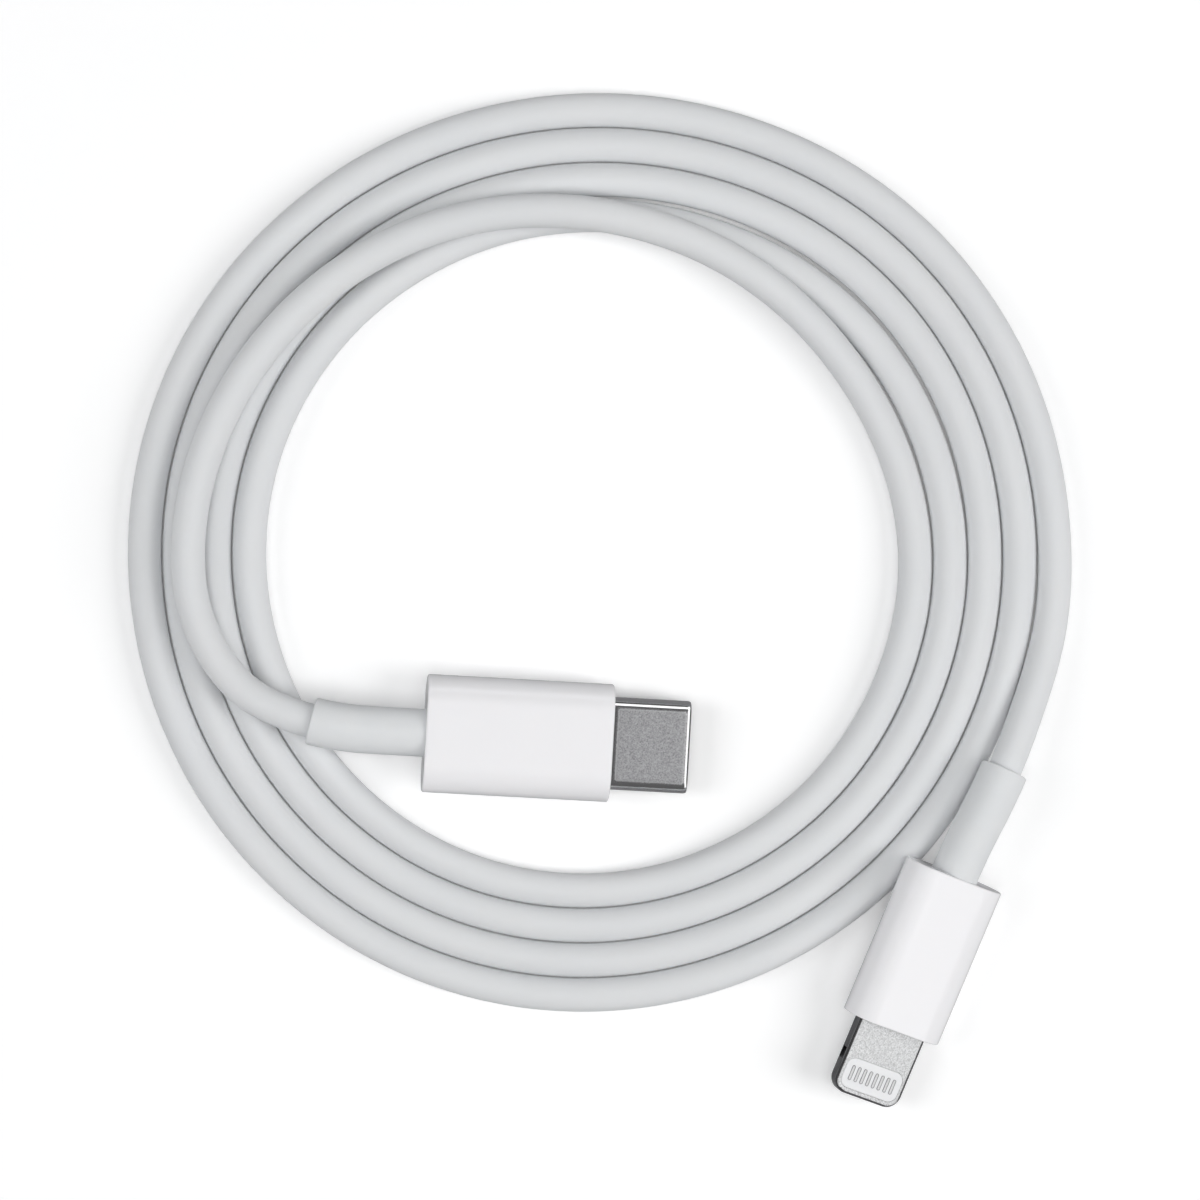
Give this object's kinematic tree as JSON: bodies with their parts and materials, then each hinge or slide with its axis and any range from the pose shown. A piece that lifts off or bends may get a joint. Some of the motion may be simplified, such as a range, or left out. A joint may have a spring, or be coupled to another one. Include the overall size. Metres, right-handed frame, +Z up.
{
  "type": "charging cable",
  "caption": "Coiled round white charging cable with a wide reversible plug inside the coil and a slim contact-tongue plug outside it.",
  "frame": {"origin": "on the resting plane, at the centre of the coiled cable's bounding box", "axes": "+Z up from the resting plane; the device plug's outside corner of the coil is towards +X and -Y, and the host plug points towards +X"},
  "size_m": [0.085, 0.0912, 0.0074],
  "materials": {
    "jacket": "satin soft-touch elastomer",
    "relief": "satin moulded elastomer",
    "housing": "glossy moulded",
    "collar": "moulded",
    "carrier": "moulded, fine grain",
    "insert": "moulded",
    "sleeve_metal": "bead blasted with polished edges",
    "tongue_metal": "satin with polished edges",
    "pad_metal": "plated",
    "spring_metal": "rolled spring strip",
    "gold_contact": "gold plated",
    "can_metal": "tinned sheet",
    "board": "solder mask",
    "component": "moulded packages",
    "braid": "tinned braid",
    "foil": "foil",
    "wire_red": "extruded",
    "wire_black": "extruded",
    "wire_green": "extruded",
    "wire_white": "extruded",
    "copper": "drawn",
    "yarn": "spun"
  },
  "bodies": {
    "coil": {"coil_jacket": "jacket", "coil_braid_shield": "braid", "coil_foil_wrap": "foil", "coil_wire_power": "wire_red", "coil_wire_ground": "wire_black", "coil_wire_data_plus": "wire_green", "coil_wire_data_minus": "wire_white", "coil_wire_conductors": "copper", "coil_pull_yarn": "yarn"},
    "device_turn_01": {"device_tail_01": "jacket"},
    "device_turn_02": {"device_tail_02": "jacket"},
    "device_turn_03": {"device_tail_03": "jacket"},
    "device_turn_04": {"device_tail_04": "jacket"},
    "device_turn_05": {"device_tail_05": "jacket"},
    "device_turn_06": {"device_tail_06": "jacket"},
    "device_turn_07": {"device_tail_07": "jacket"},
    "device_turn_08": {"device_tail_08": "jacket"},
    "device_relief": {"device_relief_rear": "relief"},
    "device_plug": {"device_relief_front": "relief", "device_housing": "housing", "device_tongue_frame": "tongue_metal", "device_contact_insert": "insert", "device_upper_contacts": "pad_metal", "device_lower_contacts": "pad_metal", "device_circuit_board": "board", "device_board_components": "component", "device_shield_can_upper": "can_metal", "device_shield_can_lower": "can_metal", "device_crimp_ring": "can_metal", "device_cable_end": "jacket", "device_wire_tails": "wire_white"},
    "host_turn_01": {"host_tail_01": "jacket"},
    "host_turn_02": {"host_tail_02": "jacket"},
    "host_turn_03": {"host_tail_03": "jacket"},
    "host_turn_04": {"host_tail_04": "jacket"},
    "host_relief": {"host_relief_rear": "relief"},
    "host_plug": {"host_relief_front": "relief", "host_housing": "housing", "host_sleeve": "sleeve_metal", "host_front_collar": "collar", "host_contact_carrier": "carrier", "host_circuit_board": "board", "host_board_components": "component", "host_shield_can_upper": "can_metal", "host_shield_can_lower": "can_metal", "host_crimp_ring": "can_metal", "host_cable_end": "jacket", "host_wire_tails": "wire_white"},
    "latch_left": {"host_latch_left": "spring_metal"},
    "latch_right": {"host_latch_right": "spring_metal"},
    "contacts_upper": {"host_upper_contacts": "gold_contact"},
    "contacts_lower": {"host_lower_contacts": "gold_contact"},
    "ground_spring_upper": {"host_ground_spring_upper": "spring_metal"},
    "ground_spring_lower": {"host_ground_spring_lower": "spring_metal"}
  },
  "joints": [
    {"name": "uncoil_01", "type": "hinge", "parent": "coil", "child": "device_turn_01", "pos_m": [-0.03717, -0.01286, 0.00153], "axis": [0, 0, 1], "range_deg": [0, 30]},
    {"name": "uncoil_02", "type": "hinge", "parent": "device_turn_01", "child": "device_turn_02", "pos_m": [-0.04081, 0.00766, 0.00153], "axis": [0, 0, 1], "range_deg": [0, 30]},
    {"name": "uncoil_03", "type": "hinge", "parent": "device_turn_02", "child": "device_turn_03", "pos_m": [-0.03352, 0.02715, 0.00153], "axis": [0, 0, 1], "range_deg": [0, 30]},
    {"name": "uncoil_04", "type": "hinge", "parent": "device_turn_03", "child": "device_turn_04", "pos_m": [-0.01752, 0.04026, 0.00153], "axis": [0, 0, 1], "range_deg": [0, 30]},
    {"name": "uncoil_05", "type": "hinge", "parent": "device_turn_04", "child": "device_turn_05", "pos_m": [0.0028, 0.04395, 0.00153], "axis": [0, 0, 1], "range_deg": [0, 30]},
    {"name": "uncoil_06", "type": "hinge", "parent": "device_turn_05", "child": "device_turn_06", "pos_m": [0.02267, 0.03749, 0.00153], "axis": [0, 0, 1], "range_deg": [0, 30]},
    {"name": "uncoil_07", "type": "hinge", "parent": "device_turn_06", "child": "device_turn_07", "pos_m": [0.03683, 0.02165, 0.00153], "axis": [0, 0, 1], "range_deg": [0, 30]},
    {"name": "uncoil_08", "type": "hinge", "parent": "device_turn_07", "child": "device_turn_08", "pos_m": [0.04097, 0.00197, 0.00164], "axis": [0, 0, 1], "range_deg": [0, 30]},
    {"name": "device_swing", "type": "hinge", "parent": "device_turn_08", "child": "device_relief", "pos_m": [0.03676, -0.01414, 0.00377], "axis": [0, 0, 1], "range_deg": [0, 32]},
    {"name": "device_lift", "type": "hinge", "parent": "device_relief", "child": "device_plug", "pos_m": [0.034, -0.01996, 0.00413], "axis": [-0.8838, 0.4679, 0], "range_deg": [0, 40]},
    {"name": "host_raise_01", "type": "hinge", "parent": "coil", "child": "host_turn_01", "pos_m": [-0.03001, 0.02248, 0.00468], "axis": [-0.7854, 0.619, 0], "range_deg": [0, 20]},
    {"name": "host_raise_02", "type": "hinge", "parent": "host_turn_01", "child": "host_turn_02", "pos_m": [-0.03527, 0.01278, 0.00468], "axis": [-0.9484, 0.317, 0], "range_deg": [0, 20]},
    {"name": "host_raise_03", "type": "hinge", "parent": "host_turn_02", "child": "host_turn_03", "pos_m": [-0.03668, 0.00164, 0.00468], "axis": [-0.9946, -0.1037, 0], "range_deg": [0, 20]},
    {"name": "host_raise_04", "type": "hinge", "parent": "host_turn_03", "child": "host_turn_04", "pos_m": [-0.03463, -0.00464, 0.00475], "axis": [-0.8589, -0.5121, 0], "range_deg": [0, 20]},
    {"name": "host_swing", "type": "hinge", "parent": "host_turn_04", "child": "host_relief", "pos_m": [-0.02693, -0.01051, 0.00523], "axis": [0, 0, 1], "range_deg": [-8, 30]},
    {"name": "host_lift", "type": "hinge", "parent": "host_relief", "child": "host_plug", "pos_m": [-0.02074, -0.01166, 0.00485], "axis": [-0.0656, -0.9978, 0], "range_deg": [0, 40]},
    {"name": "latch_left_flex", "type": "hinge", "parent": "host_plug", "child": "latch_left", "pos_m": [-0.00197, -0.00929, 0.00297], "axis": [0.0906, -0.0053, 0.9959], "range_deg": [0, 1.2]},
    {"name": "latch_right_flex", "type": "hinge", "parent": "host_plug", "child": "latch_right", "pos_m": [-0.00237, -0.01623, 0.00297], "axis": [0.0906, -0.0053, 0.9959], "range_deg": [-1.2, 0]},
    {"name": "contacts_upper_flex", "type": "hinge", "parent": "host_plug", "child": "contacts_upper", "pos_m": [-0.00352, -0.01268, 0.00353], "axis": [-0.0578, -0.9983, 0], "range_deg": [0, 0.9]},
    {"name": "contacts_lower_flex", "type": "hinge", "parent": "host_plug", "child": "contacts_lower", "pos_m": [-0.0036, -0.01268, 0.00266], "axis": [-0.0578, -0.9983, 0], "range_deg": [-0.9, 0]},
    {"name": "ground_spring_upper_flex", "type": "hinge", "parent": "host_plug", "child": "ground_spring_upper", "pos_m": [0.00308, -0.01306, 0.0034], "axis": [-0.0578, -0.9983, 0], "range_deg": [0, 1.1]},
    {"name": "ground_spring_lower_flex", "type": "hinge", "parent": "host_plug", "child": "ground_spring_lower", "pos_m": [0.00292, -0.01305, 0.00159], "axis": [-0.0578, -0.9983, 0], "range_deg": [-1.1, 0]}
  ],
  "couplings": [
    {"joint": "uncoil_02", "follows": "uncoil_01", "ratio": 1},
    {"joint": "uncoil_03", "follows": "uncoil_01", "ratio": 1},
    {"joint": "uncoil_04", "follows": "uncoil_01", "ratio": 1},
    {"joint": "uncoil_05", "follows": "uncoil_01", "ratio": 1},
    {"joint": "uncoil_06", "follows": "uncoil_01", "ratio": 1},
    {"joint": "uncoil_07", "follows": "uncoil_01", "ratio": 1},
    {"joint": "uncoil_08", "follows": "uncoil_01", "ratio": 1},
    {"joint": "host_raise_02", "follows": "host_raise_01", "ratio": 1},
    {"joint": "host_raise_03", "follows": "host_raise_01", "ratio": 1},
    {"joint": "host_raise_04", "follows": "host_raise_01", "ratio": 1},
    {"joint": "latch_right_flex", "follows": "latch_left_flex", "ratio": -1},
    {"joint": "contacts_lower_flex", "follows": "contacts_upper_flex", "ratio": -1},
    {"joint": "ground_spring_lower_flex", "follows": "ground_spring_upper_flex", "ratio": -1}
  ]
}
